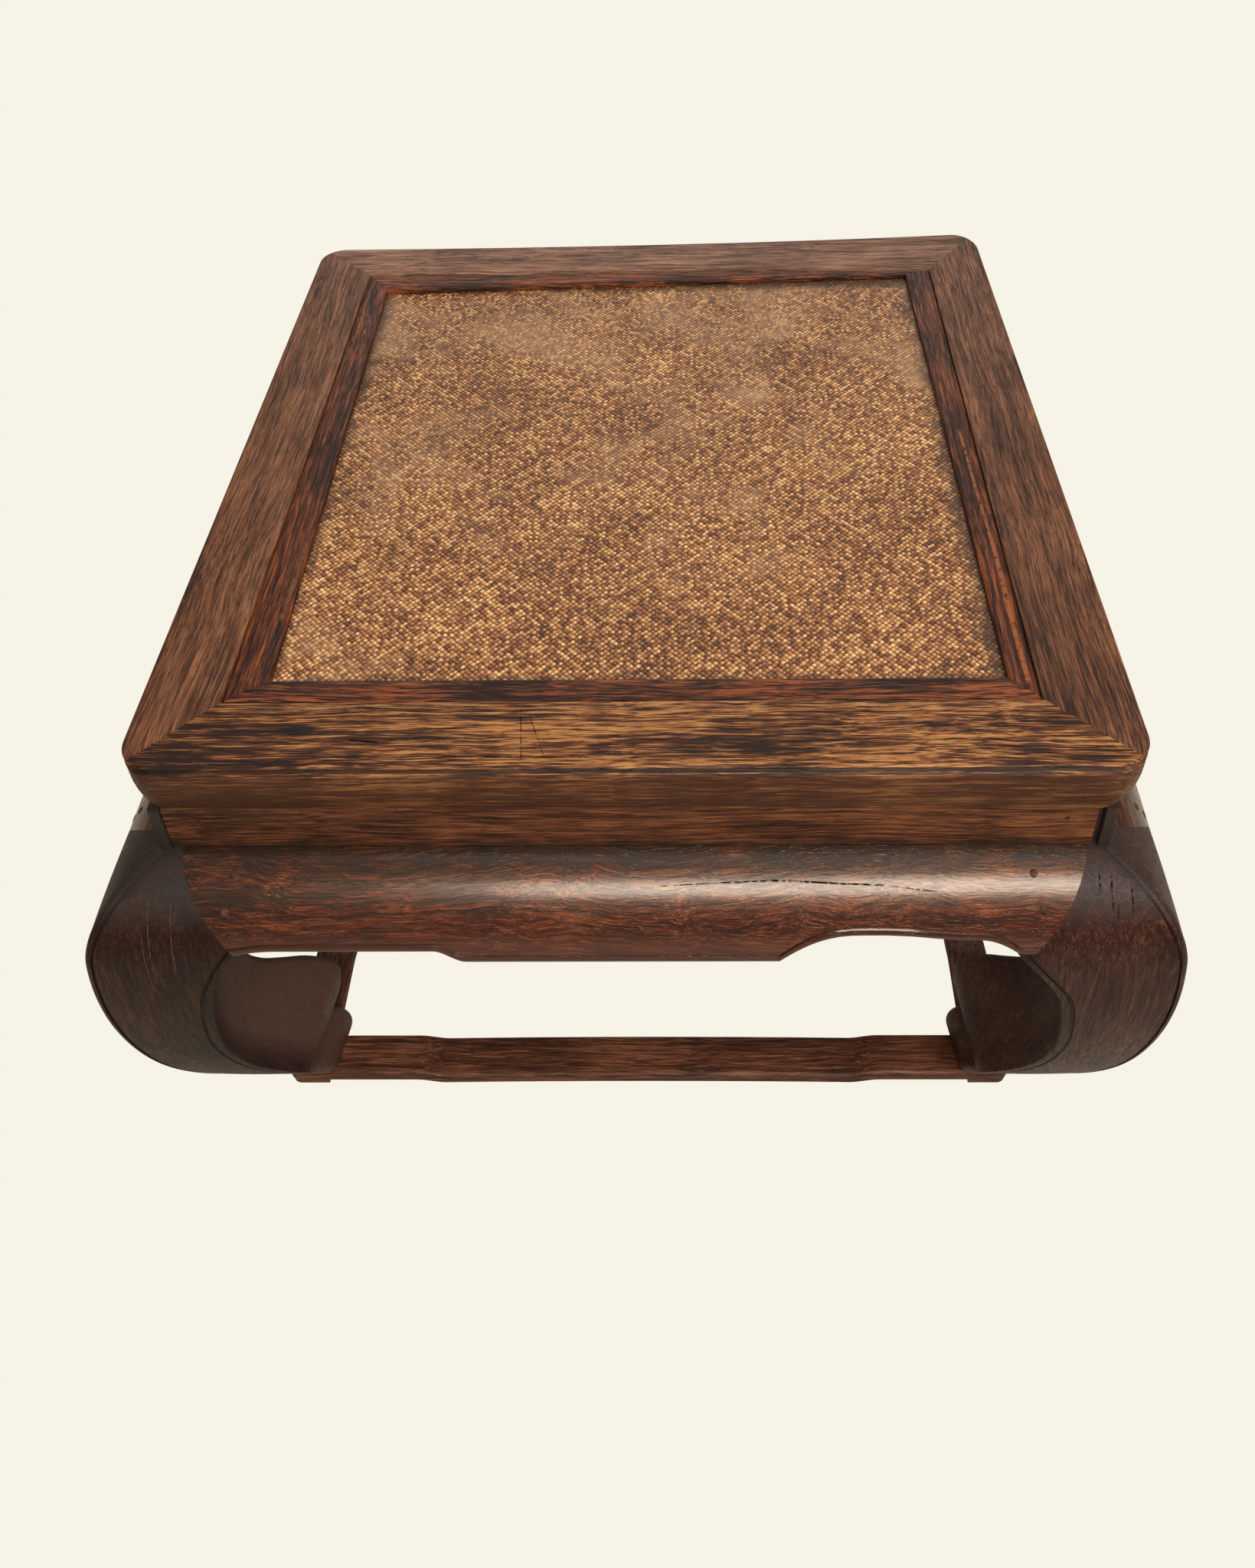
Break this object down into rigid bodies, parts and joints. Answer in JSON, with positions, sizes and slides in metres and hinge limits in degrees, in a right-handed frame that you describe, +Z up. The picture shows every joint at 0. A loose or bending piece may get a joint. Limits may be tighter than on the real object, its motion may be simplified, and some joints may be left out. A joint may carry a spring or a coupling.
{
  "type": "low square table",
  "caption": "Low square table with a framed cane top, recessed waist, bulging aprons and curved drum legs standing on a mitred floor frame.",
  "frame": {"origin": "middle of the footprint, on the floor under the corner pads", "axes": "+Z up; -Y is the front, +X its right-hand side; the table is square, so X and Y are alike"},
  "size_m": [0.6826, 0.6826, 0.405],
  "materials": {
    "top_wood": "worn dark reddish-brown lacquer over open grain, satin",
    "strip_wood": "worn dark lacquer with orange wear streaks, satin",
    "waist_wood": "brown-red lacquer, satin",
    "apron_wood": "reddish mahogany-toned lacquer, semi-gloss",
    "leg_wood": "very dark brown lacquer, semi-gloss",
    "floor_wood": "dark red-brown lacquer, worn, satin",
    "bare_wood": "bare aged softwood, matte",
    "peg_wood": "end grain under worn lacquer, matte",
    "cane": "fine golden-brown woven cane, aged, low sheen"
  },
  "bodies": {
    "root": {"top_frame_front": "top_wood", "cover_strip_front": "strip_wood", "waist_front": "waist_wood", "apron_front": "apron_wood", "floor_rail_front": "floor_wood", "top_frame_right": "top_wood", "cover_strip_right": "strip_wood", "waist_right": "waist_wood", "apron_right": "apron_wood", "floor_rail_right": "floor_wood", "top_frame_back": "top_wood", "cover_strip_back": "strip_wood", "waist_back": "waist_wood", "apron_back": "apron_wood", "floor_rail_back": "floor_wood", "top_frame_left": "top_wood", "cover_strip_left": "strip_wood", "waist_left": "waist_wood", "apron_left": "apron_wood", "floor_rail_left": "floor_wood", "leg_front_left": "leg_wood", "floor_pad_front_left": "floor_wood", "leg_front_right": "leg_wood", "floor_pad_front_right": "floor_wood", "leg_back_right": "leg_wood", "floor_pad_back_right": "floor_wood", "leg_back_left": "leg_wood", "floor_pad_back_left": "floor_wood", "cane_mat": "cane", "backing_board_front": "bare_wood", "backing_board_middle": "bare_wood", "backing_board_back": "bare_wood", "batten_left": "bare_wood", "batten_right": "bare_wood", "frame_pegs": "peg_wood", "waist_pegs": "peg_wood", "apron_pegs": "peg_wood"}
  },
  "joints": []
}
